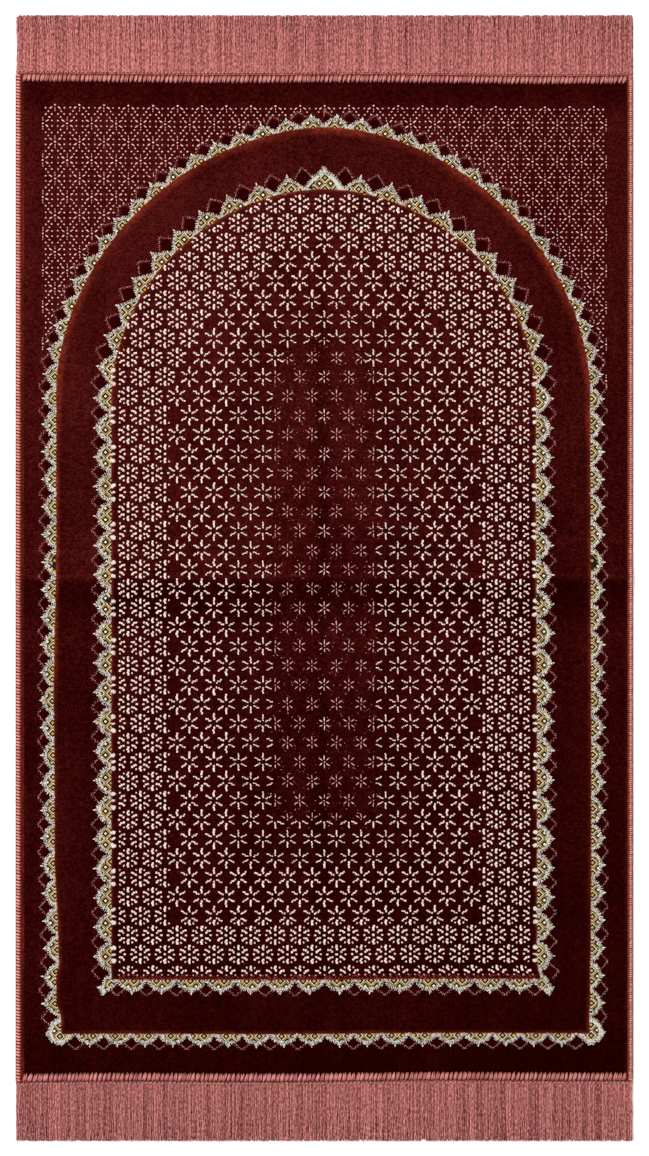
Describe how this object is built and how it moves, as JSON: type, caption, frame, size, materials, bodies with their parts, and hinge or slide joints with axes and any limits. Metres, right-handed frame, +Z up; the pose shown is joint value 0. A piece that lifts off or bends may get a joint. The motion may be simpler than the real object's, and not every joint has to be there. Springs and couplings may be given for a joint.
{
  "type": "prayer rug",
  "caption": "Flat pile prayer rug with an arched niche framed by sunk lace bands, overcast sides, whipped ends and a fringe at each end.",
  "frame": {"origin": "on the floor under the middle of the rug", "axes": "+X across the rug to the right, +Y along the rug towards the niche's point, +Z up out of the pile"},
  "size_m": [0.6788, 1.2376, 0.0078],
  "materials": {
    "pile": "deep maroon cut pile with a soft sheen",
    "binding_thread": "dusty rose overcast thread, slightly glossy",
    "whipping_thread": "dusty pink whipped yarn",
    "fringe_yarn": "dusty pink fine fringe yarn",
    "cream_yarn": "cream pattern yarn of the flowers and lace edges",
    "gold_yarn": "old gold pattern yarn inside the lace",
    "dark_yarn": "near-black pattern yarn inside the lace",
    "pink_yarn": "dusty pink pattern yarn of the dots and picots"
  },
  "bodies": {
    "root": {"rug_cloth": "pile", "side_binding_left": "binding_thread", "side_binding_right": "binding_thread", "end_whipping_top": "whipping_thread", "end_whipping_bottom": "whipping_thread", "fringe_top": "fringe_yarn", "fringe_bottom": "fringe_yarn"}
  },
  "joints": []
}
